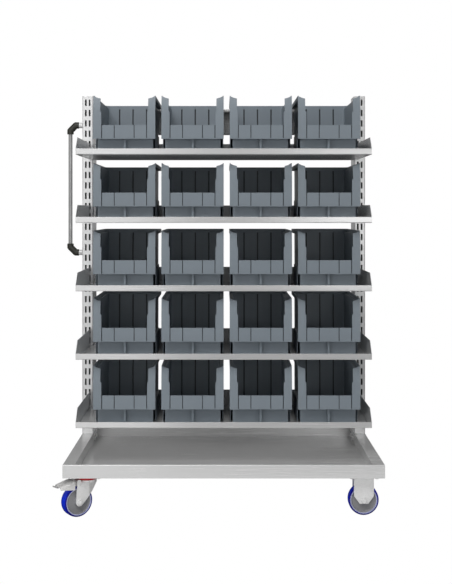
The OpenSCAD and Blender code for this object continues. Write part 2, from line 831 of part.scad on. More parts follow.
module fork_side_outline() {
    polygon([
        [-fork_lead, crown_z], [-fork_lead, crown_z - 10], [-8, crown_z - 38],
        [trail - 0.8 * fork_boss, axle_z - 0.6 * fork_boss], [trail, axle_z],
        [trail + fork_boss, axle_z + 2], [fork_tail, crown_z]
    ]);
    translate([trail, axle_z]) circle(r = fork_boss);
}

module wing_plan() {
    x0 = -fork_lead;
    x1 = fork_fold + eps;
    polygon([[x0, fork_in - fork_wing], [x1, fork_in], [x1, fork_out], [x0, fork_out - fork_wing]]);
}

module swivel_fork(s) {
    color("whitesmoke") at_swivel(s) difference() {
        union() {
            intersection() {
                union() {
                    along_x(fork_fold, trail + fork_boss + 1) difference() {
                        u_outline(fork_out, crown_z, fork_round);
                        translate([0, -1]) u_outline(fork_in, crown_z - fork_t + 1, fork_round - fork_t);
                    }
                    for (i = [0, 1]) mirror([0, i, 0]) linear_extrude(crown_z - fork_round) wing_plan();
                }
                along_y(-fork_out - 1, fork_out + 1) fork_side_outline();
            }
            for (i = [0, 1]) mirror([0, i, 0]) along_y(fork_in, fork_out) polygon([
                [trail - 8, crown_z - 12], [trail - 2, crown_z + fork_ear], [fork_tail - 1.5, crown_z + fork_ear],
                [fork_tail, crown_z + fork_ear - 1.5], [fork_tail, crown_z - 12]
            ]);
            translate([0, 0, crown_z - fork_t]) cylinder(r = fork_lead + 4, h = fork_t);
            translate([0, 0, crown_z - fork_round - eps]) linear_extrude(fork_round - fork_t + 2 * eps) difference() {
                circle(r = fork_lead + 2);
                circle(r = fork_lead + 2 - fork_t);
                translate([fork_fold, -2 * trail]) square(4 * trail);
            }
        }
        translate([0, 0, crown_z - fork_t - 1]) cylinder(d = kingpin_d + 2 * fit, h = fork_t + 2);
        translate([trail, 0, axle_z]) shaft_y(axle_d + 2 * fit, -fork_out - 1, fork_out + 1);
        translate([pivot_x, 0, pivot_z]) shaft_y(pivot_d + 2 * fit, -fork_out - 1, fork_out + 1);
    }
}

// Axle bolt with its nut, along y
module axle_pair() {
    head = 0.7 * axle_d;
    past = 2;
    shaft_y(axle_d, -fork_out - eps, fork_out + head + past);
    translate([0, -fork_out, 0]) rotate([90, 0, 0]) cylinder(d = 1.8 * axle_d, h = head, $fn = 6);
    difference() {
        translate([0, fork_out + head, 0]) rotate([90, 0, 0]) cylinder(d = 1.8 * axle_d, h = head, $fn = 6);
        shaft_y(axle_d + 2 * fit, fork_out - 1, fork_out + head + 1);
    }
}

module wheel_core() {
    web = wheel_w / 2 - 5;
    rim = wheel_w / 2 - 1.2;
    hub_r = axle_d / 2 + 9;
    web_r = core_r - 6;
    rim_r = core_r - 1.5;
    rotate([90, 0, 0]) rotate_extrude() polygon([
        [axle_d / 2 + fit, -hub_l / 2], [hub_r, -hub_l / 2], [hub_r, -web], [web_r, -web], [rim_r, -rim], [core_r, -rim],
        [core_r, rim], [rim_r, rim], [web_r, web], [hub_r, web], [hub_r, hub_l / 2], [axle_d / 2 + fit, hub_l / 2]
    ]);
}

module wheel_tyre() {
    r0 = core_r + tyre_bond;
    r1 = wheel_d / 2;
    w = wheel_w / 2;
    rotate([90, 0, 0]) rotate_extrude() intersection() {
        translate([r0, -w]) square([r1 - r0, 2 * w]);
        round_rect([r0 - 2 * tyre_round, -w], r1 - r0 + 2 * tyre_round, 2 * w, tyre_round);
    }
}

module swivel_axle(s) {
    color("silver") at_swivel(s) translate([trail, 0, axle_z]) axle_pair();
}

module swivel_core(s) {
    color("gray") at_swivel(s) translate([trail, 0, axle_z]) wheel_core();
}

module swivel_tyre(s) {
    color("mediumblue") at_swivel(s) translate([trail, 0, axle_z]) wheel_tyre();
}

// Brake pedal: root block with the brake shoe, a pressed shell whose flanges hang beside the tyre,
// and an upturned tongue. The outlines are drawn from the top of the wheel.
pedal_root = fork_in - 1.5;
pedal_half = fork_in + 1;
pedal_top = caster_h - 13 - wheel_d;
shoe_room = 2.2;
pedal_bend = pedal_l - 42;
pedal_end = pedal_l - 12;
bend_z = pedal_top - 4;
end_z = pedal_top - 13;
flange_root = -9;
flange_end = -2.5;

module pedal_root_outline() {
    translate([pivot_x, pivot_z]) circle(r = pivot_r);
    translate([trail, wheel_d]) polygon([
        [-2, 7 - pivot_r + 0.3], [6, shoe_room + 0.4], [18, shoe_room], [20, pedal_top - 2], [13, pedal_top - 1],
        [10, 13], [-2, 13]
    ]);
}

module pedal_shell_outline() {
    translate([trail, wheel_d]) polygon([
        [16, pedal_top], [pedal_bend, bend_z], [pedal_end, end_z], [pedal_end, flange_end], [16, flange_root]
    ]);
}

module pedal_hollow_outline() {
    t = pedal_t;
    translate([trail, wheel_d]) polygon([
        [20, pedal_top - t], [pedal_bend, bend_z - t], [pedal_end + 1, end_z - t - 0.3], [pedal_end + 1, flange_root - 5],
        [15, flange_root - 5], [15, shoe_room], [20, shoe_room]
    ]);
}

module tongue_outline() {
    t = pedal_t;
    translate([trail, wheel_d]) polygon([
        [pedal_end - 4, end_z + 1], [pedal_end + 4, end_z - 1.6], [pedal_end + 17, end_z + 3],
        [pedal_end + 17, end_z + 3 - t], [pedal_end + 4.5, end_z - 1.6 - t], [pedal_end - 4, end_z + 1 - t]
    ]);
}

module brake_pedal(s) {
    color("dimgray") at_swivel(s) {
        along_y(-pedal_root, pedal_root) pedal_root_outline();
        translate([pivot_x, 0, pivot_z]) shaft_y(pivot_d, -fork_out - 0.5, fork_out + 0.5);
        difference() {
            along_y(-pedal_half, pedal_half) pedal_shell_outline();
            along_y(-pedal_half + pedal_t, pedal_half - pedal_t) pedal_hollow_outline();
        }
        intersection() {
            along_y(-tongue_w / 2, tongue_w / 2) tongue_outline();
            linear_extrude(caster_h) round_rect([trail + 20, -tongue_w / 2], pedal_end - 3, tongue_w, 5);
        }
    }
}

// Fixed casters: plate and both legs pressed from one sheet, the legs' wings folded in
module leg_plan() {
    m = leg_mid_w / 2;
    w = leg_w / 2;
    polygon([
        [-w, -fork_out + leg_fold], [-m, -fork_out], [m, -fork_out], [w, -fork_out + leg_fold],
        [w, -fork_in + leg_fold], [m, -fork_in], [-m, -fork_in], [-w, -fork_in + leg_fold]
    ]);
}

module leg_outline() {
    m = leg_mid_w / 2;
    w = leg_w / 2;
    low = axle_z - axle_d;
    polygon([[-w, caster_h - 1], [-w, axle_z + 15], [-m, low], [m, low], [w, axle_z + 15], [w, caster_h - 1]]);
}

module fixed_fork(s) {
    color("whitesmoke") at_fixed(s) difference() {
        union() {
            plate_blank();
            intersection() {
                union() {
                    linear_extrude(plate_z + eps) leg_plan();
                    mirror([0, 1, 0]) linear_extrude(plate_z + eps) leg_plan();
                }
                along_y(-fork_out - 1, fork_out + 1) leg_outline();
            }
        }
        translate([0, 0, axle_z]) shaft_y(axle_d + 2 * fit, -fork_out - 1, fork_out + 1);
    }
}

module fixed_axle(s) {
    color("silver") at_fixed(s) translate([0, 0, axle_z]) axle_pair();
}

module fixed_core(s) {
    color("gray") at_fixed(s) translate([0, 0, axle_z]) wheel_core();
}

module fixed_tyre(s) {
    color("mediumblue") at_fixed(s) translate([0, 0, axle_z]) wheel_tyre();
}

base_tray();
upright_left();
upright_right();
top_crossbar();
frame_bolts();
for (r = [1:bin_rows]) {
    shelf(r);
    for (c = [1:bin_cols])
        bin(r, c);
}
handle_tube();
handle_elbow_top();
handle_elbow_bottom();
handle_spacers();
handle_screws();
caster_bolts();
for (s = SWIVEL) {
    swivel_plate(s);
    swivel_seal(s);
    swivel_fork(s);
    swivel_axle(s);
    swivel_core(s);
    swivel_tyre(s);
    brake_pedal(s);
}
for (s = FIXED) {
    fixed_fork(s);
    fixed_axle(s);
    fixed_core(s);
    fixed_tyre(s);
}
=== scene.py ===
# %% [markdown]
# # A mobile bin cart in a white studio
# The cart is a ground stainless tray on four casters, two slotted uprights, five hook-in shelves and twenty
# moulded bins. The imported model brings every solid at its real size. This script keeps the sheet metal and
# the mouldings as they are, softens their edges, makes the turned and moulded small pieces afresh as numpy
# surfaces, and gives each material its own finish. Everything is in metres, with Z up.

import math

import bmesh
import bpy
import numpy as np
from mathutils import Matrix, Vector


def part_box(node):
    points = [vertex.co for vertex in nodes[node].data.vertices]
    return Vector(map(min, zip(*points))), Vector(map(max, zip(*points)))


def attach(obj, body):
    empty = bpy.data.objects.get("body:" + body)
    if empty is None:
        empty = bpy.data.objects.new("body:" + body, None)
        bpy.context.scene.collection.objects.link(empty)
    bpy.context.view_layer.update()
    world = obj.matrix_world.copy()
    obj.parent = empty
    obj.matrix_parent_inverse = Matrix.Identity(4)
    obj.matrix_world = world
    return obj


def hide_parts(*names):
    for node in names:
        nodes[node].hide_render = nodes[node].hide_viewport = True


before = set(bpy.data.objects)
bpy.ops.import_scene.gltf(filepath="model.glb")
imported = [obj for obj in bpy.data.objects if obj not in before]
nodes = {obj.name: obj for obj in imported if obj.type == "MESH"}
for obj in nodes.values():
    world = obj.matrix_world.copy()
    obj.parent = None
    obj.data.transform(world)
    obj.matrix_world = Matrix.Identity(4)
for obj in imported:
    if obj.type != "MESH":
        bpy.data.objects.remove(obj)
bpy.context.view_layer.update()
MM = 0.001
print("pieces in the packed model:", len(nodes))

# %% [markdown]
# ## The camera
# The picture was taken from straight in front, with a level camera, so upright edges stay upright. The
# horizon lies well above the middle of the frame: a shifted lens does that without tilting the camera.
# The distance follows from how much smaller the far edges look than the near ones.

# %% Camera
LENS = 61.5
EYE = (0.0315, -3.514, 0.998)
SHIFT = (0.0039, -0.1404)

camera_data = bpy.data.cameras.new("camera")
camera_data.lens = LENS
camera_data.shift_x, camera_data.shift_y = SHIFT
camera = bpy.data.objects.new("camera", camera_data)
camera.location = EYE
camera.rotation_euler = (math.radians(90), 0, 0)
bpy.context.scene.collection.objects.link(camera)
bpy.context.scene.camera = camera
print("camera at", EYE, "lens", LENS)

# %% [markdown]
# ## Shader arithmetic
# A finish is a small sum: a base tone, plus a little of this pattern, minus a little of that one. Drawing
# such sums with boxes and lines hides them, so one class wraps a shader socket and lets Python's own
# operators add the Math nodes. Every other node comes from its one `node` method.

# %% A socket that takes part in sums
class Wire:
    """An output socket of a shader tree. Sums and products of wires and numbers add Math nodes."""

    def __init__(self, tree, socket=None):
        self.tree = tree
        self.socket = socket

    def node(self, kind, settings=None, sockets=None, out=0):
        """Adds a node: first its settings, then a value or a wire for each named socket."""
        made = self.tree.nodes.new("ShaderNode" + kind)
        for key, value in (settings or {}).items():
            setattr(made, key, value)
        for key, value in (sockets or {}).items():
            if isinstance(value, Wire):
                self.tree.links.new(value.socket, made.inputs[key])
            else:
                made.inputs[key].default_value = value
        return Wire(self.tree, made.outputs[out])

    def maths(self, operation, a, b):
        return self.node("Math", {"operation": operation}, {0: a, 1: b})

    def __add__(self, other):
        return self.maths("ADD", self, other)

    def __radd__(self, other):
        return self.maths("ADD", other, self)

    def __sub__(self, other):
        return self.maths("SUBTRACT", self, other)

    def __rsub__(self, other):
        return self.maths("SUBTRACT", other, self)

    def __mul__(self, other):
        return self.maths("MULTIPLY", self, other)

    def __rmul__(self, other):
        return self.maths("MULTIPLY", other, self)


def new_finish(name, constants):
    """A Principled material with its even values set on the shader's own sockets."""
    made = bpy.data.materials.new(name)
    made.use_nodes = True
    shader = made.node_tree.nodes["Principled BSDF"]
    for key, value in constants.items():
        shader.inputs[key].default_value = value
    return made, shader, Wire(made.node_tree)


def feed(shader, key, wire):
    """Links a wire to one of the shader's sockets."""
    wire.tree.links.new(wire.socket, shader.inputs[key])


def noise(wire, place, stretch, detail=2.0):
    """Noise in Object coordinates, stretch cycles per metre along each axis."""
    at = wire.node("Mapping", sockets={"Vector": place, "Scale": stretch})
    return wire.node("TexNoise", sockets={"Vector": at, "Scale": 1.0, "Detail": detail})


def between(wire, amount, low, high):
    """A colour between two others."""
    return wire.node("Mix", {"data_type": "RGBA"}, {0: amount, 6: low, 7: high}, out=2)


def relief(shader, wire, height, depth):
    """A height pattern, depth metres deep, as the surface's bump."""
    bump = wire.node("Bump", sockets={"Strength": 1.0, "Distance": depth, "Height": height})
    feed(shader, "Normal", bump)


# %% [markdown]
# ## Ground stainless sheet
# The tray, shelves, uprights and crossbar are stainless sheet with a ground finish: fine lines run along
# each piece, and the light smears across them. One noise pattern, stretched hundreds to one along the
# grinding direction, changes the tone, the roughness and a very shallow bump together. A slow cloud stands
# for handling. Hardly any light gets into a slotted tube, so a mask of its inside darkens the colour there
# as painted shade, which keeps the slots dark.

# %% Sheet metal finishes
SHEET_METAL = 0.45
LINES_ALONG, LINES_ACROSS = 6.0, 1500.0
BANDS_ALONG, BANDS_ACROSS = 1.5, 220.0
CLOUD = (2.5, 2.5, 2.5)
TUBE_SKIN = 0.0016
TUBE_PAINTED_SHADE = 0.06


def tinted(tone, factor):
    """A grey tone times a factor, as a colour with alpha."""
    return tuple(min(1.0, c * factor) for c in tone) + (1.0,)


def within(wire, value, middle, half):
    """1 where a value lies within half of the middle, 0 elsewhere."""
    return wire.node("Math", {"operation": "COMPARE"}, {0: value, 1: middle, 2: half})


def parts_of(wire, place):
    """The x, y and z of a place, as three wires."""
    split = wire.node("SeparateXYZ", sockets={"Vector": place})
    return [Wire(wire.tree, split.socket.node.outputs[axis]) for axis in "XYZ"]


def ground_sheet(name, along, tone, rough, depth=0.000015, hollow=None):
    """Sheet ground along one axis. Inside the box named by hollow the colour is darkened as painted shade,
    where a tube gets little light.
    """
    made, shader, wire = new_finish(name, {"Metallic": SHEET_METAL})
    place = wire.node("TexCoord", out="Object")
    fine = tuple(np.where(np.arange(3) == along, LINES_ALONG, LINES_ACROSS))
    broad = tuple(np.where(np.arange(3) == along, BANDS_ALONG, BANDS_ACROSS))
    lines = noise(wire, place, fine, 3.0)
    bands = noise(wire, place, broad)
    cloud = noise(wire, place, CLOUD, 3.0)
    amount = 0.5 * lines + 0.3 * bands + 0.2 * cloud
    colour = between(wire, amount, tinted(tone, 0.90), tinted(tone, 1.10))
    # Painted shade: inside the tube's box the colour turns dark, where little light gets in.
    if hollow:
        low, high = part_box(hollow)
        x, y, _ = parts_of(wire, place)
        inside = within(wire, x, (low.x + high.x) / 2, (high.x - low.x) / 2 - TUBE_SKIN)
        inside = inside * within(wire, y, (low.y + high.y) / 2, (high.y - low.y) / 2 - TUBE_SKIN)
        colour = between(wire, inside, colour, tinted(tone, TUBE_PAINTED_SHADE))
    feed(shader, "Base Color", colour)
    feed(shader, "Roughness", rough + 0.12 * (lines - 0.5) + 0.08 * (cloud - 0.5))
    relief(shader, wire, lines, depth)
    return made


steel_x = ground_sheet("ground_steel_along_cart", 0, (0.78, 0.78, 0.78), 0.25)
steel_z = {
    side: ground_sheet(f"ground_steel_{side}", 2, (0.95, 0.95, 0.95), 0.30, 0.000006, "upright_" + side)
    for side in ("left", "right")
}

ZINC_CRYSTALS = 260.0
ZINC_CLOUD = (30.0, 30.0, 30.0)
ZINC_GRAIN = (900.0, 900.0, 900.0)
ZINC_DEPTH = 0.00002


def zinc_sheet(name, tone, rough, metal=0.2):
    """Pressed sheet with a thin zinc coat: a faint spangle of crystals, each with its own tone and gloss."""
    made, shader, wire = new_finish(name, {"Metallic": metal})
    place = wire.node("TexCoord", out="Object")
    crystal = wire.node("TexVoronoi", sockets={"Vector": place, "Scale": ZINC_CRYSTALS}, out="Color")
    tone_of = wire.node("SeparateColor", sockets={"Color": crystal})
    cloud = noise(wire, place, ZINC_CLOUD, 3.0)
    amount = 0.35 * tone_of + 0.65 * cloud
    feed(shader, "Base Color", between(wire, amount, tinted(tone, 0.86), tinted(tone, 1.1)))
    feed(shader, "Roughness", rough + 0.12 * (tone_of - 0.5) + 0.12 * (cloud - 0.5))
    relief(shader, wire, noise(wire, place, ZINC_GRAIN), ZINC_DEPTH)
    return made


ZINC_TONE = (0.97, 0.97, 0.96)
zinc = zinc_sheet("zinc_sheet", ZINC_TONE, 0.36, 0.1)
fastener = zinc_sheet("bright_fastener", ZINC_TONE, 0.24, 0.1)
pedal_steel = zinc_sheet("pedal_sheet", (0.86, 0.85, 0.84), 0.38)
print("sheet finishes:", [m.name for m in (steel_x, *steel_z.values(), zinc, fastener, pedal_steel)])

# %% [markdown]
# ## Moulded plastics
# The bins, the elbows, the wheel cores, the tyres and the seal rings are moulded. A moulding has an eroded
# grain about half a millimetre wide, a slow change of tone where the melt flowed, and a soft sheen.

# %% Plastic finishes
BIN_MID_X, BIN_STEP_X = -0.30395, 0.2303
BIN_LOW_Z, BIN_STEP_Z = 0.2726, 0.228
GROOVE_STEP, GROOVE_HALF, GROOVES_REACH = 0.05, 0.0024, 0.06
BACK_Y, BACK_HALF, BACK_LEAN = 0.1761, 0.0033, 0.05
LABEL_LINE, PILLAR_LINE, LINE_HALF = 0.0335, 0.0758, 0.0013
FRONT_Y, FRONT_HALF = -0.1499, 0.0019
FRONT_MID_Z, FRONT_REACH = 0.078, 0.0225


def bin_shade_lines(wire, place):
    """1 inside the narrow moulded lines of a bin, where shade is painted, and 0 elsewhere.

    Width and height are counted from each bin's own middle and foot, as (x - first) mod step and
    (z - first) mod step. The back wall leans, so its depth is counted as y - lean z."""
    x, y, z = parts_of(wire, place)
    across = wire.maths("FLOORED_MODULO", x - (BIN_MID_X - BIN_STEP_X / 2), BIN_STEP_X) - BIN_STEP_X / 2
    up = wire.maths("FLOORED_MODULO", z - BIN_LOW_Z, BIN_STEP_Z)
    groove = wire.maths("FLOORED_MODULO", across + 1.5 * GROOVE_STEP, GROOVE_STEP)
    behind = y - BACK_LEAN * up
    grooves = within(wire, groove, GROOVE_STEP / 2, GROOVE_HALF) * within(wire, across, 0.0, GROOVES_REACH)
    grooves = grooves * within(wire, behind, BACK_Y, BACK_HALF)
    side = wire.maths("MAXIMUM", across, -1.0 * across)
    by_label = within(wire, side, LABEL_LINE, LINE_HALF)
    by_pillar = within(wire, side, PILLAR_LINE, LINE_HALF)
    beside = wire.maths("MAXIMUM", by_label, by_pillar)
    front = within(wire, y, FRONT_Y, FRONT_HALF) * within(wire, up, FRONT_MID_Z, FRONT_REACH)
    return wire.maths("MAXIMUM", grooves, beside * front)


FLOW = (7.0, 7.0, 3.0)


def moulded(name, low, high, rough, grain, depth, mark=None):
    """Plastic between two tones. A mark is a mask of the place and the tone that it has there."""
    made, shader, wire = new_finish(name, {})
    place = wire.node("TexCoord", out="Object")
    flow = noise(wire, place, FLOW, 3.0)
    pits = noise(wire, place, (grain, grain, grain), 3.0)
    amount = 0.7 * flow + 0.3 * pits
    colour = between(wire, amount, low + (1.0,), high + (1.0,))
    if mark:
        colour = between(wire, mark[0](wire, place), colour, mark[1] + (1.0,))
    feed(shader, "Base Color", colour)
    feed(shader, "Roughness", rough + 0.14 * (flow - 0.5) + 0.16 * (pits - 0.5))
    relief(shader, wire, pits, depth)
    return made


BIN_LOW, BIN_HIGH = (0.225, 0.265, 0.305), (0.275, 0.320, 0.360)
# Painted shade: the bins' grooves and narrow lines get this dark tone where shade falls in them.
BIN_PAINTED_SHADE = (0.045, 0.053, 0.061)
bin_plastic = moulded("bin_plastic", BIN_LOW, BIN_HIGH, 0.42, 1400.0, 0.00005, (bin_shade_lines, BIN_PAINTED_SHADE))
BLACK_LOW, BLACK_HIGH = (0.030, 0.031, 0.024), (0.048, 0.048, 0.038)
black_plastic = moulded("black_plastic", BLACK_LOW, BLACK_HIGH, 0.48, 1600.0, 0.00004)


def beyond(wire, start, end):
    """0 inside one radius from the axle and 1 outside another, from the wheel's own attribute."""
    radius = wire.node("Attribute", {"attribute_name": "radius"}, out="Fac")
    reach = {"Value": radius, "From Min": start, "From Max": end}
    return wire.node("MapRange", {"interpolation_type": "SMOOTHSTEP"}, reach)


RIM_AT = (0.0404, 0.0410)


def core_rim(wire, place):
    """1 on the outer rim of a core, next to the tyre, which is painted pale."""
    return beyond(wire, *RIM_AT)


CORE_LOW, CORE_HIGH, CORE_RIM = (0.27, 0.27, 0.285), (0.35, 0.35, 0.365), (0.66, 0.68, 0.86)
core_plastic = moulded("core_plastic", CORE_LOW, CORE_HIGH, 0.44, 1200.0, 0.00004, (core_rim, CORE_RIM))

# A pale ring is painted on the tyre next to the core, as on the core's rim.
PALE_RING_AT, TREAD_AT = (0.0438, 0.0446), (0.0484, 0.0496)
PALE_RING = (0.60, 0.64, 0.95, 1.0)
SIDE_LOW, SIDE_HIGH = (0.006, 0.004, 0.25, 1.0), (0.012, 0.008, 0.34, 1.0)
TREAD_LOW, TREAD_HIGH = (0.004, 0.030, 0.80, 1.0), (0.008, 0.050, 1.0, 1.0)
TYRE_PITS, TYRE_FLOW = (900.0, 900.0, 900.0), (40.0, 40.0, 40.0)


def tyre_finish():
    """Polyurethane, by the radius: a pale ring next to the core, deep blue on the side and bright on the
    tread.
    """
    made, shader, wire = new_finish("blue_tyre", {"Specular IOR Level": 0.12})
    place = wire.node("TexCoord", out="Object")
    pits = noise(wire, place, TYRE_PITS, 3.0)
    flow = noise(wire, place, TYRE_FLOW, 3.0)
    side = between(wire, flow, SIDE_LOW, SIDE_HIGH)
    wear = between(wire, 0.5 * flow + 0.5 * pits, TREAD_LOW, TREAD_HIGH)
    pale_ring = between(wire, beyond(wire, *PALE_RING_AT), PALE_RING, side)
    feed(shader, "Base Color", between(wire, beyond(wire, *TREAD_AT), pale_ring, wear))
    feed(shader, "Roughness", 0.38 + 0.10 * (pits - 0.5) + 0.12 * (flow - 0.5))
    relief(shader, wire, pits, 0.00003)
    return made


tyre_rubber = tyre_finish()
SEAL_LOW, SEAL_HIGH = (0.46, 0.006, 0.008), (0.62, 0.014, 0.016)
seal_plastic = moulded("red_seal", SEAL_LOW, SEAL_HIGH, 0.34, 1100.0, 0.00003)
plastics = (bin_plastic, black_plastic, core_plastic, tyre_rubber, seal_plastic)
print("plastic finishes:", [m.name for m in plastics])

# %% [markdown]
# ## Softened edges on the solids
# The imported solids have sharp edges, and nothing made of sheet or plastic has. Their meshes stay untouched:
# modifiers merge the loose triangles, dissolve the flat ones into whole faces, round the sharp edges by a
# fraction of a millimetre and weigh the normals, so that flat faces stay flat and the edges catch the light.
# A bevel can run past a short edge and fold the faces over, or fill a groove in which another piece turns.
# Clamping it to the room there is prevents that, at the price of an edge that is hardly round. On the pedals
# even a clamped bevel spoils an end face, so they get none.

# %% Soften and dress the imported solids
WELD_REACH = 0.000002
FLAT_ANGLE = math.radians(1.0)
EDGE_ANGLE = math.radians(35)
EDGE_SEGMENTS = 2


def soften(name, finish, width=0.0, clamp=False):
    """Weld, flatten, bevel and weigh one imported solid, and give it its finish.

    Without a width there is no bevel. Clamp keeps it within the shortest edge."""
    solid = nodes[name]
    solid.data.materials.clear()
    solid.data.materials.append(finish)
    weld = solid.modifiers.new("weld", "WELD")
    weld.merge_threshold = WELD_REACH
    flat = solid.modifiers.new("flat", "DECIMATE")
    flat.decimate_type = "DISSOLVE"
    flat.angle_limit = FLAT_ANGLE
    if width:
        edge = solid.modifiers.new("edge", "BEVEL")
        edge.width = width
        edge.segments = EDGE_SEGMENTS
        edge.limit_method = "ANGLE"
        edge.angle_limit = EDGE_ANGLE
        edge.use_clamp_overlap = clamp
    weigh = solid.modifiers.new("weigh", "WEIGHTED_NORMAL")
    weigh.keep_sharp = False


SOFT_EDGE = 0.0005
TUBE_EDGE = 0.0003
soften("base_tray", steel_x, SOFT_EDGE, clamp=True)
soften("top_crossbar", steel_x, SOFT_EDGE, clamp=True)
for side in ("left", "right"):
    soften("upright_" + side, steel_z[side], TUBE_EDGE)
for name in sorted(nodes):
    if name.startswith("shelf_"):
        soften(name, steel_x, SOFT_EDGE)
    elif name.startswith("bin_"):
        soften(name, bin_plastic, SOFT_EDGE)
    elif name.startswith("fixed_fork"):
        soften(name, zinc, SOFT_EDGE)
    elif name.startswith(("swivel_fork", "swivel_plate")):
        soften(name, zinc, SOFT_EDGE, clamp=True)
    elif name.startswith("brake_pedal"):
        soften(name, pedal_steel)
print("softened solids:", sum(1 for o in nodes.values() if o.modifiers))

# %% [markdown]
# ## Surfaces from numpy
# Turned pieces, hexagon heads and bent tubes are all grids of points: one parameter goes round, the other
# goes along. Whole arrays give the points, a second array gives the quads, and one function puts any number
# of such grids into a mesh, closes them and sets the piece on its body.

# %% Grids into meshes
def grid_faces(rows, cols, wrap_rows, wrap_cols):
    """Quads (i, j), (i + 1, j), (i + 1, j + 1), (i, j + 1) of a grid, counted round where it wraps."""
    i, j = np.meshgrid(np.arange(rows - (not wrap_rows)), np.arange(cols - (not wrap_cols)), indexing="ij")
    k = (i + 1) % rows
    m = (j + 1) % cols
    return np.stack([i * cols + j, k * cols + j, k * cols + m, i * cols + m], -1).reshape(-1, 4)


MERGE_REACH = 0.000001


def make_piece(name, grids, finish, body, stands_for, crease=32.0):
    """One object from closed grids, each given as (points, wrap_rows, wrap_cols).

    Points of a pole fall together and are merged, and faces are turned outwards."""
    points = np.concatenate([g[0].reshape(-1, 3) for g in grids])
    counts = np.cumsum([0] + [g[0].shape[0] * g[0].shape[1] for g in grids])
    faces = np.concatenate([grid_faces(*g[0].shape[:2], *g[1:]) + n for g, n in zip(grids, counts)])
    mesh = bpy.data.meshes.new(name)
    mesh.from_pydata(points, [], faces.tolist())
    work = bmesh.new()
    work.from_mesh(mesh)
    bmesh.ops.remove_doubles(work, verts=work.verts, dist=MERGE_REACH)
    bmesh.ops.recalc_face_normals(work, faces=work.faces)
    work.to_mesh(mesh)
    work.free()
    mesh.polygons.foreach_set("use_smooth", np.ones(len(mesh.polygons), bool))
    mesh.set_sharp_from_angle(angle=math.radians(crease))
    mesh.materials.append(finish)
    piece = bpy.data.objects.new(name, mesh)
    bpy.context.scene.collection.objects.link(piece)
    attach(piece, body)
    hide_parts(*stands_for)
    return piece


def rounded(corners, radius, steps=3):
    """A closed outline with each corner p replaced by a parabola from a to b, (1-s)^2 a + 2s(1-s) p + s^2 b.

    The points a and b lie on the two edges, at the radius from p or at 45% of the edge."""
    p = np.asarray(corners, float)
    back = np.roll(p, 1, 0) - p
    ahead = np.roll(p, -1, 0) - p
    back_l = np.linalg.norm(back, axis=1)
    ahead_l = np.linalg.norm(ahead, axis=1)
    cut = np.minimum(radius, 0.45 * np.minimum(back_l, ahead_l))[:, None]
    a = (p + back / back_l[:, None] * cut)[:, None]
    b = (p + ahead / ahead_l[:, None] * cut)[:, None]
    s = np.linspace(0, 1, steps + 1)[None, :, None]
    return ((1 - s) ** 2 * a + 2 * s * (1 - s) * p[:, None] + s**2 * b).reshape(-1, 2)


def turned(profile, count):
    """Lathe about z: a profile point (r, h) goes to (r cos a, r sin a, h) for each angle a."""
    a = np.linspace(0, 2 * np.pi, count, endpoint=False)[:, None]
    r, h = profile[:, 0], profile[:, 1]
    return np.stack([r * np.cos(a), r * np.sin(a), h + 0 * a], -1)


def set_in(points, axes, origin):
    """Points in a local frame, x a + y b + z c + origin, where a, b and c are the rows of axes."""
    return points @ np.asarray(axes, float) + np.asarray(origin, float)


def middle(name):
    """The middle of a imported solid's box."""
    low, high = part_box(name)
    return np.array((low + high) / 2)


# %% [markdown]
# ## Wheels
# Each wheel is a grey moulded core with a blue tyre bonded round it. Both are turned shapes: a closed outline
# of radius and width, carried round the axle. The tyre has round shoulders, a slight crown and a shallow ring
# pressed into each side; the core has a dished web between hub and rim.

# %% Tyres and cores
CASTER_TURN = {"fl": 214.0, "rl": 146.0, "fr": 0.0, "rr": 0.0}


def caster_kind(corner):
    """The left casters swivel and the right ones are fixed."""
    return "swivel" if corner[1] == "l" else "fixed"


def caster_axes(corner):
    """Rows of a wheel's frame: trailing direction, up, and the axle's direction."""
    t = math.radians(CASTER_TURN[corner])
    return [(math.cos(t), math.sin(t), 0), (0, 0, 1), (-math.sin(t), math.cos(t), 0)]


def keep_radius(piece, hub, axle):
    """Stores each point's distance from the axle, |d - (d . axle) axle|, for the finishes to read."""
    spots = np.empty(3 * len(piece.data.vertices))
    piece.data.vertices.foreach_get("co", spots)
    out = spots.reshape(-1, 3) - hub
    out -= np.outer(out @ axle, axle)
    reach = piece.data.attributes.new("radius", "FLOAT", "POINT")
    reach.data.foreach_set("value", np.linalg.norm(out, axis=1))


TYRE_OUTLINE = np.array([
    (42.87, -15.4), (43.6, -16.0), (44.6, -16.0), (45.0, -15.6), (45.6, -15.6), (46.0, -16.0), (47.5, -15.8),
    (49.3, -13.8), (49.86, -10.0), (49.96, -0.5), (49.96, 0.5), (49.86, 10.0), (49.3, 13.8), (47.5, 15.8),
    (46.0, 16.0), (45.6, 15.6), (45.0, 15.6), (44.6, 16.0), (43.6, 16.0), (42.87, 15.4),
])
CORE_OUTLINE = np.array([
    (5.05, -20.5), (11.0, -20.5), (12.0, -19.6), (14.0, -14.0), (16.0, -11.0), (36.6, -11.0), (40.6, -14.8),
    (42.5, -14.8), (42.5, 14.8), (40.6, 14.8), (36.6, 11.0), (16.0, 11.0), (14.0, 14.0), (12.0, 19.6),
    (11.0, 20.5), (5.05, 20.5),
])
TYRE_ROUND, TYRE_STEPS = 0.9, 144
CORE_ROUND, CORE_STEPS = 1.2, 112
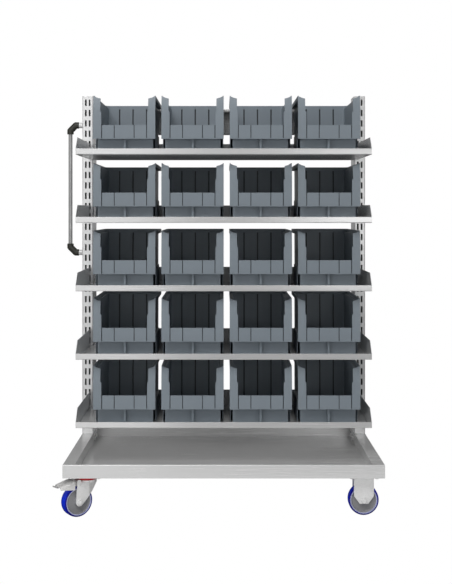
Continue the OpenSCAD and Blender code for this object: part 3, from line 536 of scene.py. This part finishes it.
for corner in CASTER_TURN:
    kind = caster_kind(corner)
    hub = middle(f"{kind}_tyre_{corner}")
    axes = caster_axes(corner)
    tyre = set_in(turned(rounded(TYRE_OUTLINE, TYRE_ROUND) * MM, TYRE_STEPS), axes, hub)
    core = set_in(turned(rounded(CORE_OUTLINE, CORE_ROUND) * MM, CORE_STEPS), axes, hub)
    tread = make_piece(
        "tyre_" + corner, [(tyre, True, True)], tyre_rubber, "wheel_" + corner,
        [f"{kind}_tyre_{corner}"],
    )
    web = make_piece(
        "core_" + corner, [(core, True, True)], core_plastic, "wheel_" + corner,
        [f"{kind}_core_{corner}"],
    )
    keep_radius(tread, hub, axes[2])
    keep_radius(web, hub, axes[2])
print("wheels made")

# %% [markdown]
# ## Bolts, nuts and axles
# A hexagon head is a turned piece whose radius depends on the angle: the smaller of the hexagon's own radius
# and of a cone that chamfers the top. The same grid runs on down the shank, so a bolt is one closed surface.

# %% Hexagon bolts
CHAMFER_SLOPE = 1.73
TIP_CHAMFER = 0.9


def hexagon(a, corner):
    """Radius of a hexagon at angle a: its flat distance over the cosine of the angle from a flat."""
    flat = corner * math.cos(math.pi / 6)
    return flat / np.cos((a % (np.pi / 3)) - np.pi / 6)


def bolt(corner, head, shank, length, count=48):
    """A bolt along +z with its head below z = 0: rows of (radius, height), cut to the hexagon on the head."""
    a = np.linspace(0, 2 * np.pi, count, endpoint=False)[:, None]
    flat = corner * math.cos(math.pi / 6)
    heights = -head * np.array([1.0, 1.0, 1.0, 0.9, 0.75, 0.55, 0.15, 0.0, 0.0])
    cone = np.array([0.0, 0.55, 0.93, 0.93, 0.93, 0.93, 0.93, 0.9, 0.0]) * flat
    cone[3:7] += (heights[3:7] + head) * CHAMFER_SLOPE
    rim = np.minimum(cone, hexagon(a, corner))
    rim[:, 8] = shank
    tail_h = np.array([length - TIP_CHAMFER, length, length])
    tail_r = np.array([shank, shank - TIP_CHAMFER, 0.0])
    r = np.concatenate([rim, np.broadcast_to(tail_r, (count, 3))], 1)
    h = np.concatenate([heights, tail_h])
    return np.stack([r * np.cos(a), r * np.sin(a), h + 0 * a], -1) * MM


def nut(corner, height, bore, count=48):
    """A nut along +z from z = 0: a closed outline, both ends chamfered, cut to the hexagon."""
    a = np.linspace(0, 2 * np.pi, count, endpoint=False)[:, None]
    flat = corner * math.cos(math.pi / 6)
    h = np.array([0, 0, 0.1, 0.25, 0.75, 0.9, 1, 1]) * height
    edge = 0.93 * flat + CHAMFER_SLOPE * np.minimum(h, height - h)
    edge[0] = edge[-1] = bore
    r = np.minimum(edge, hexagon(a, corner))
    return np.stack([r * np.cos(a), r * np.sin(a), h + 0 * a], -1) * MM


TO_RIGHT = [(0, 1, 0), (0, 0, 1), (1, 0, 0)]
TO_LEFT = [(0, 0, 1), (0, 1, 0), (-1, 0, 0)]
UPWARD = np.eye(3)
CORNER, HEAD, SHANK = 7.5, 5.3, 4
RAIL_LENGTH, RAIL_LEFT, RAIL_RIGHT = 13.5, -0.4485, 0.5115
RAIL_Y, RAIL_Z = (0.179, 0.229), 0.154
BAR_LENGTH, BAR_LEFT, BAR_RIGHT = 14, -0.4455, 0.5085
BAR_Y, BAR_SPREAD = 0.2275, 0.025
bar_low, bar_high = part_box("top_crossbar")
bar_z = (bar_low.z + bar_high.z) / 2
rail_bolt = bolt(CORNER, HEAD, SHANK, RAIL_LENGTH)
bar_bolt = bolt(CORNER, HEAD, SHANK, BAR_LENGTH)
frame_bolts = []
for y in RAIL_Y:
    frame_bolts.append((set_in(rail_bolt, TO_RIGHT, (RAIL_RIGHT, y, RAIL_Z)), True, False))
    frame_bolts.append((set_in(rail_bolt, TO_LEFT, (RAIL_LEFT, y, RAIL_Z)), True, False))
for z in (bar_z - BAR_SPREAD, bar_z + BAR_SPREAD):
    frame_bolts.append((set_in(bar_bolt, TO_RIGHT, (BAR_RIGHT, BAR_Y, z)), True, False))
    frame_bolts.append((set_in(bar_bolt, TO_LEFT, (BAR_LEFT, BAR_Y, z)), True, False))
make_piece("bolts_of_frame", frame_bolts, fastener, "frame", ["frame_bolts"])

PLATE_LENGTH, PLATE_Z = 8.5, 0.129
PLATE_MIDS = [(-0.4165, -0.238), (-0.4165, 0.238), (0.489, -0.238), (0.489, 0.238)]
PLATE_HOLES = [(-0.040, -0.030), (-0.040, 0.030), (0.040, -0.030), (0.040, 0.030)]
plate_bolt = bolt(CORNER, HEAD, SHANK, PLATE_LENGTH)
caster_bolts = []
for x, y in PLATE_MIDS:
    for dx, dy in PLATE_HOLES:
        caster_bolts.append((set_in(plate_bolt, UPWARD, (x + dx, y + dy, PLATE_Z)), True, False))
make_piece("bolts_of_casters", caster_bolts, fastener, "frame", ["caster_bolts"])

STUD_OUTLINE = np.array([
    (0, 0), (7.0, 0), (7.5, 0.5), (7.5, 4.8), (7.0, 5.3), (4.0, 5.3), (4.0, 32.4), (3.1, 33.3),
    (0, 33.3),
])
STUD_X, STUD_STEPS = -0.4812, 48
HANDLE_Y, HANDLE_LOW, HANDLE_HIGH = 0.204, 0.840, 1.313
stud = turned(STUD_OUTLINE * MM, STUD_STEPS)
screws = []
for z in (HANDLE_LOW, HANDLE_HIGH):
    screws.append((set_in(stud, TO_LEFT, (STUD_X, HANDLE_Y, z)), True, False))
make_piece("screws_of_handle", screws, fastener, "frame", ["handle_screws"])

AXLE_CORNER, AXLE_HEAD, AXLE_SHANK, AXLE_LENGTH = 9, 7, 5, 57
NUT_BORE, FORK_HALF = 5.05, 24
for corner in CASTER_TURN:
    kind = caster_kind(corner)
    hub = middle(f"{kind}_tyre_{corner}")
    axes = caster_axes(corner)
    axle = set_in(bolt(AXLE_CORNER, AXLE_HEAD, AXLE_SHANK, AXLE_LENGTH) + (0, 0, -FORK_HALF * MM), axes, hub)
    lock = set_in(nut(AXLE_CORNER, AXLE_HEAD, NUT_BORE) + (0, 0, FORK_HALF * MM), axes, hub)
    make_piece(
        "axle_" + corner, [(axle, True, False), (lock, True, True)], fastener,
        f"swivel_{corner}" if kind == "swivel" else "frame", [f"{kind}_axle_{corner}"],
    )
print("bolts:", len(frame_bolts) + len(caster_bolts) + len(screws), "axles: 4")

# %% [markdown]
# ## Seal rings
# A red ring closes the bearing under each swivel plate. It is a turned outline, a little narrower below, with
# a rolled lip, carried once round the kingpin.

# %% Seals
SEAL_OUTLINE = np.array([
    (30.05, 118.7), (33.4, 118.6), (34.6, 119.4), (36.2, 122.4), (37.2, 124.4), (38.0, 125.0), (38.0, 126.6),
    (37.0, 127.2), (30.05, 127.2),
])
SEAL_ROUND, SEAL_STEPS = 0.7, 112
for corner in ("fl", "rl"):
    x, y, _ = middle("swivel_seal_" + corner)
    ring = turned(rounded(SEAL_OUTLINE, SEAL_ROUND) * MM, SEAL_STEPS) + np.array((x, y, 0))
    make_piece(
        "seal_" + corner, [(ring, True, True)], seal_plastic, "frame", ["swivel_seal_" + corner]
    )
print("seals: 2")

# %% [markdown]
# ## Push handle
# A plain tube stands beside the left upright, held by two black elbows with flat mitres and two turned
# spacers. An elbow is a circle carried along a path of three straight legs: at each bend the circle lies in
# the mitre plane, where it is stretched by one over the cosine of half the bend.

# %% Handle
def bent_rod(path, radii, across, count=48):
    """Rings of a rod along a path in a plane: each ring lies in the plane that halves the bend there.

    Ring = centre + r (cos a across + sin a m / cos(half bend)), where m is the plane's other direction."""
    p = np.asarray(path, float)
    step = np.diff(p, axis=0)
    step /= np.linalg.norm(step, axis=1)[:, None]
    before = np.vstack([step[:1], step])
    after = np.vstack([step, step[-1:]])
    along = before + after
    stretch = 2 / np.linalg.norm(along, axis=1)
    along /= np.linalg.norm(along, axis=1)[:, None]
    m = np.cross(along, across)
    a = np.linspace(0, 2 * np.pi, count, endpoint=False)
    r = np.asarray(radii, float)[:, None, None]
    ring = np.cos(a)[None, :, None] * np.asarray(across, float)
    ring = ring + np.sin(a)[None, :, None] * (m * stretch[:, None])[:, None]
    return p[:, None] + r * ring


GRIP_X, GRIP_STEPS = -0.5395, 64
HANDLE_CREASE = 20.0
ELBOW_PATH = np.array([
    (0, -33), (0, -33), (0, -33), (0, -32), (0, -21), (0, -20.3), (0.5, -19.5), (19.5, -0.5), (20.3, 0),
    (21, 0), (31, 0), (32, 0), (32, 0), (32, 0),
])
ELBOW_RADII = np.array([0.02, 7.5, 11.2, 12, 12, 12, 12, 12, 12, 12, 12, 11.2, 4, 0.02]) * MM
for name, z, flip in (("top", HANDLE_HIGH, 1), ("bottom", HANDLE_LOW, -1)):
    flat_path = ELBOW_PATH.copy()
    flat_path[:3, 1] += (-0.02, -0.01, 0)
    flat_path[-3:, 0] += (0, 0.01, 0.02)
    path = np.stack([flat_path[:, 0], 0 * flat_path[:, 0], flip * flat_path[:, 1]], 1) * MM
    rod = bent_rod(path + (GRIP_X, HANDLE_Y, z), ELBOW_RADII, (0, 1, 0))
    make_piece(
        "elbow_" + name, [(rod, False, True)], black_plastic, "frame", ["handle_elbow_" + name],
        HANDLE_CREASE,
    )

low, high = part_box("handle_tube")
TUBE_WALL = np.array([(6.0, 0.3), (6.3, 0), (7.2, 0), (7.5, 0.3)])
length = (high.z - low.z) / MM
tube_outline = np.vstack([TUBE_WALL, (TUBE_WALL * (1, -1) + (0, length))[::-1]])
grip = turned(tube_outline * MM, GRIP_STEPS) + np.array((GRIP_X, HANDLE_Y, low.z))
steel_grip = ground_sheet("ground_steel_grip", 2, (0.50, 0.50, 0.50), 0.24)
make_piece("grip_tube", [(grip, True, True)], steel_grip, "frame", ["handle_tube"])

SPACER_X = -0.4885
SPACER_OUTLINE = np.array([
    (4.1, 0), (9.2, 0), (10, 0.8), (10, 8.4), (9.4, 9), (9.4, 10), (10, 10.6), (10, 18.2), (9.2, 19),
    (4.1, 19),
])
spacer = turned(SPACER_OUTLINE * MM, GRIP_STEPS)
rings = []
for z in (HANDLE_LOW, HANDLE_HIGH):
    rings.append((set_in(spacer, TO_LEFT, (SPACER_X, HANDLE_Y, z)), True, True))
spacer_metal = zinc_sheet("spacer_metal", (0.95, 0.95, 0.95), 0.26, 0.1)
make_piece(
    "spacers_of_handle", rings, spacer_metal, "frame", ["handle_spacers"], HANDLE_CREASE
)
print("handle made")

# %% [markdown]
# ## Studio
# The picture is a cut-out on white. A broad box above and to the left of the camera is the key, and a
# weaker one overhead lights the tops. Two panels beside the camera are there for the steel, which shows what
# stands in front of it, and two cards on the floor give the low front rim something pale to mirror. Two
# panels behind the cart light its back. The sky is brightest at the horizon and fades upwards, so the bins'
# insides stay deep. The camera sees sky and floor as plain white.

# %% Lights
GLOW_TO_POWER = 4.0


def soft_light(name, place, aim, size, glow):
    """A rectangular light at a place, turned to its aim. Its power grows with its glow and its area."""
    data = bpy.data.lights.new(name, "AREA")
    data.shape = "RECTANGLE"
    data.size, data.size_y = size
    data.energy = GLOW_TO_POWER * glow * size[0] * size[1]
    lamp = bpy.data.objects.new(name, data)
    lamp.location = place
    way = np.array(aim, float) - np.array(place, float)
    level = math.hypot(way[0], way[1])
    lamp.rotation_euler = (math.atan2(level, -way[2]), 0, math.atan2(-way[0], way[1]))
    lamp.visible_camera = False
    bpy.context.scene.collection.objects.link(lamp)


AIM = (0.03, 0.0, 0.75)
soft_light("key", (-0.9, -3.1, 3.7), AIM, (3.0, 1.6), 4.0)
soft_light("top", (0.03, -0.9, 4.4), (0.03, -0.1, 0.7), (3.0, 1.4), 1.2)
soft_light("left_panel", (-1.475, -3.3, 1.0), (-1.475, 0.0, 1.0), (2.25, 2.0), 0.76)
soft_light("right_panel", (1.3, -3.3, 0.95), (1.3, 0.0, 0.95), (1.5, 0.75), 1.75)
soft_light("floor_card", (0.03, -0.735, 0.004), (0.03, -0.735, 1.0), (1.8, 0.83), 0.48)
soft_light("left_card", (-0.72, -1.75, 0.004), (-0.72, -1.75, 1.0), (0.96, 1.1), 0.76)
for side in (-1, 1):
    soft_light("back_panel", (2.4 * side, 2.8, 1.2), (0.0, 0.25, 0.8), (1.4, 1.6), 1.1)

# %% Sky and floor
SKY_HORIZON, SKY_ABOVE, SKY_FADE = 0.38, 0.02, 0.7
WHITE = (1, 1, 1, 1)
world = bpy.data.worlds.new("studio")
bpy.context.scene.world = world
world.use_nodes = True
sky = Wire(world.node_tree)
seen = sky.node("LightPath", out="Is Camera Ray")
rise = sky.node("SeparateXYZ", sockets={"Vector": sky.node("TexCoord", out="Generated")}, out="Z")
soft = sky.node(
    "MapRange", {"interpolation_type": "SMOOTHSTEP"},
    {"Value": rise, "From Min": 0.0, "From Max": SKY_FADE, "To Min": SKY_HORIZON, "To Max": SKY_ABOVE},
)
glow = soft + (1.0 - soft) * seen
background = world.node_tree.nodes["Background"]
background.inputs["Color"].default_value = WHITE
world.node_tree.links.new(glow.socket, background.inputs["Strength"])
bpy.context.scene.view_settings.view_transform = "Standard"

FLOOR_REACH = 30.0
FLOOR_DROP = 0.0005
floor_mesh = bpy.data.meshes.new("studio_floor")
corners = np.array([(-1, -1, 0), (1, -1, 0), (1, 1, 0), (-1, 1, 0)]) * FLOOR_REACH
floor_mesh.from_pydata(corners - (0, 0, FLOOR_DROP), [], [(0, 1, 2, 3)])
floor = bpy.data.objects.new("studio_floor", floor_mesh)
bpy.context.scene.collection.objects.link(floor)
FLOOR_TONE = {"Base Color": (0.15, 0.15, 0.15, 1), "Roughness": 0.9}
floor_finish, floor_shader, floor_wire = new_finish("pale_floor", FLOOR_TONE)
floor_glow = floor_wire.node("Emission", sockets={"Color": WHITE, "Strength": 1.0})
floor_seen = floor_wire.node("LightPath", out="Is Camera Ray")
floor_base = Wire(floor_wire.tree, floor_shader.outputs[0])
floor_mix = floor_wire.node("MixShader", sockets={0: floor_seen, 1: floor_base, 2: floor_glow})
floor_wire.tree.links.new(floor_mix.socket, floor_wire.tree.nodes["Material Output"].inputs["Surface"])
floor_mesh.materials.append(floor_finish)
